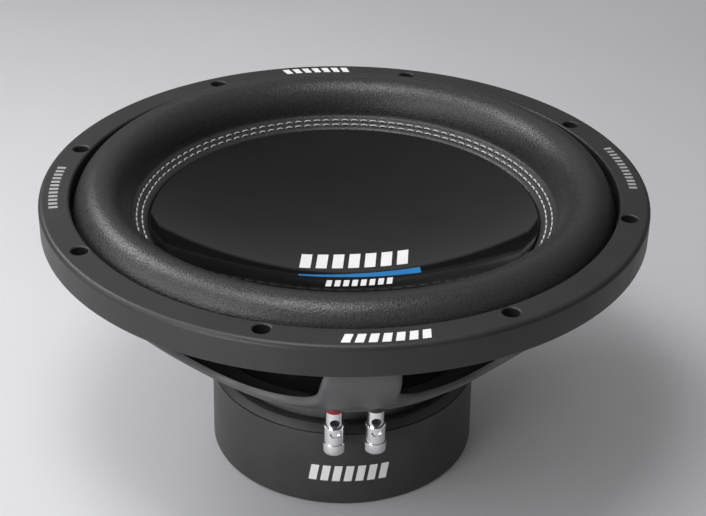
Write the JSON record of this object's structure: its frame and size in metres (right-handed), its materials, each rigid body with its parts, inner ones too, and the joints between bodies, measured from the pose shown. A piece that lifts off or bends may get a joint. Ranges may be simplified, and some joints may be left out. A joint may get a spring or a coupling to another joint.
{
  "type": "car subwoofer speaker",
  "caption": "Round car subwoofer driver with a half-roll surround, stitched band, dished cap, windowed steel basket, rubber-jacketed magnet and sprung push terminals.",
  "frame": {"origin": "centre of the magnet boot's foot, which the driver stands on", "axes": "+Z along the speaker's axis, out of the cone's front; -Y towards the front pair of terminals"},
  "size_m": [0.32, 0.32, 0.1643],
  "materials": {
    "satin_black_steel": "satin powder coat",
    "satin_black_plastic": "satin",
    "black_rubber": "fine grain satin",
    "boot_rubber": "satin",
    "gloss_black": "high gloss",
    "cone_pulp": "matt pressed pulp",
    "thread": "twisted thread",
    "black_cloth": "resin-treated weave",
    "black_steel": "black passivated",
    "ferrite": "ground ferrite",
    "chrome": "polished",
    "plated_steel": "zinc plated",
    "spring_steel": "drawn wire",
    "red_nylon": "moulded",
    "black_nylon": "moulded",
    "phenolic": "pressed sheet",
    "copper": "enamelled wire",
    "former_sheet": "kraft-wrapped aluminium",
    "tinsel": "braided tinsel"
  },
  "bodies": {
    "frame": {"basket": "satin_black_steel", "trim_ring": "satin_black_plastic", "surround": "black_rubber", "spider": "black_cloth", "top_plate": "black_steel", "magnet_upper": "ferrite", "magnet_lower": "ferrite", "t_yoke": "black_steel", "magnet_boot": "boot_rubber", "motor_screws": "plated_steel", "terminal_plate_front": "phenolic", "terminal_plate_rear": "phenolic", "terminal_nuts": "plated_steel", "solder_tabs": "plated_steel", "bush_front_red": "red_nylon", "bush_front_black": "black_nylon", "bush_rear_red": "red_nylon", "bush_rear_black": "black_nylon", "post_front_red": "chrome", "post_front_black": "chrome", "post_rear_red": "chrome", "post_rear_black": "chrome", "spring_front_red": "spring_steel", "spring_front_black": "spring_steel", "spring_rear_red": "spring_steel", "spring_rear_black": "spring_steel", "lead_front_red": "tinsel", "lead_front_black": "tinsel", "lead_rear_red": "tinsel", "lead_rear_black": "tinsel"},
    "cone_assembly": {"cone": "cone_pulp", "dust_cap": "gloss_black", "voice_coil_former": "former_sheet", "winding_inner": "copper", "winding_outer": "copper", "stitch_outer": "thread", "stitch_inner": "thread"},
    "push_front_red": {"sleeve_front_red": "chrome", "push_cap_front_red": "chrome"},
    "push_front_black": {"sleeve_front_black": "chrome", "push_cap_front_black": "chrome"},
    "push_rear_red": {"sleeve_rear_red": "chrome", "push_cap_rear_red": "chrome"},
    "push_rear_black": {"sleeve_rear_black": "chrome", "push_cap_rear_black": "chrome"}
  },
  "joints": [
    {"name": "cone_slide", "type": "slide", "parent": "frame", "child": "cone_assembly", "axis": [0, 0, 1], "range_m": [-0.012, 0.012], "stiffness_N_per_m": 5500, "springref_m": 0.0003, "deforming": ["surround", "spider", "lead_front_red", "lead_front_black", "lead_rear_red", "lead_rear_black"]},
    {"name": "push_front_red", "type": "slide", "parent": "frame", "child": "push_front_red", "axis": [0, 0, 1], "range_m": [0, 0.0061], "stiffness_N_per_m": 300, "springref_m": -0.003, "deforming": ["spring_front_red"]},
    {"name": "push_front_black", "type": "slide", "parent": "frame", "child": "push_front_black", "axis": [0, 0, 1], "range_m": [0, 0.0061], "stiffness_N_per_m": 300, "springref_m": -0.003, "deforming": ["spring_front_black"]},
    {"name": "push_rear_red", "type": "slide", "parent": "frame", "child": "push_rear_red", "axis": [0, 0, 1], "range_m": [0, 0.0061], "stiffness_N_per_m": 300, "springref_m": -0.003, "deforming": ["spring_rear_red"]},
    {"name": "push_rear_black", "type": "slide", "parent": "frame", "child": "push_rear_black", "axis": [0, 0, 1], "range_m": [0, 0.0061], "stiffness_N_per_m": 300, "springref_m": -0.003, "deforming": ["spring_rear_black"]}
  ]
}
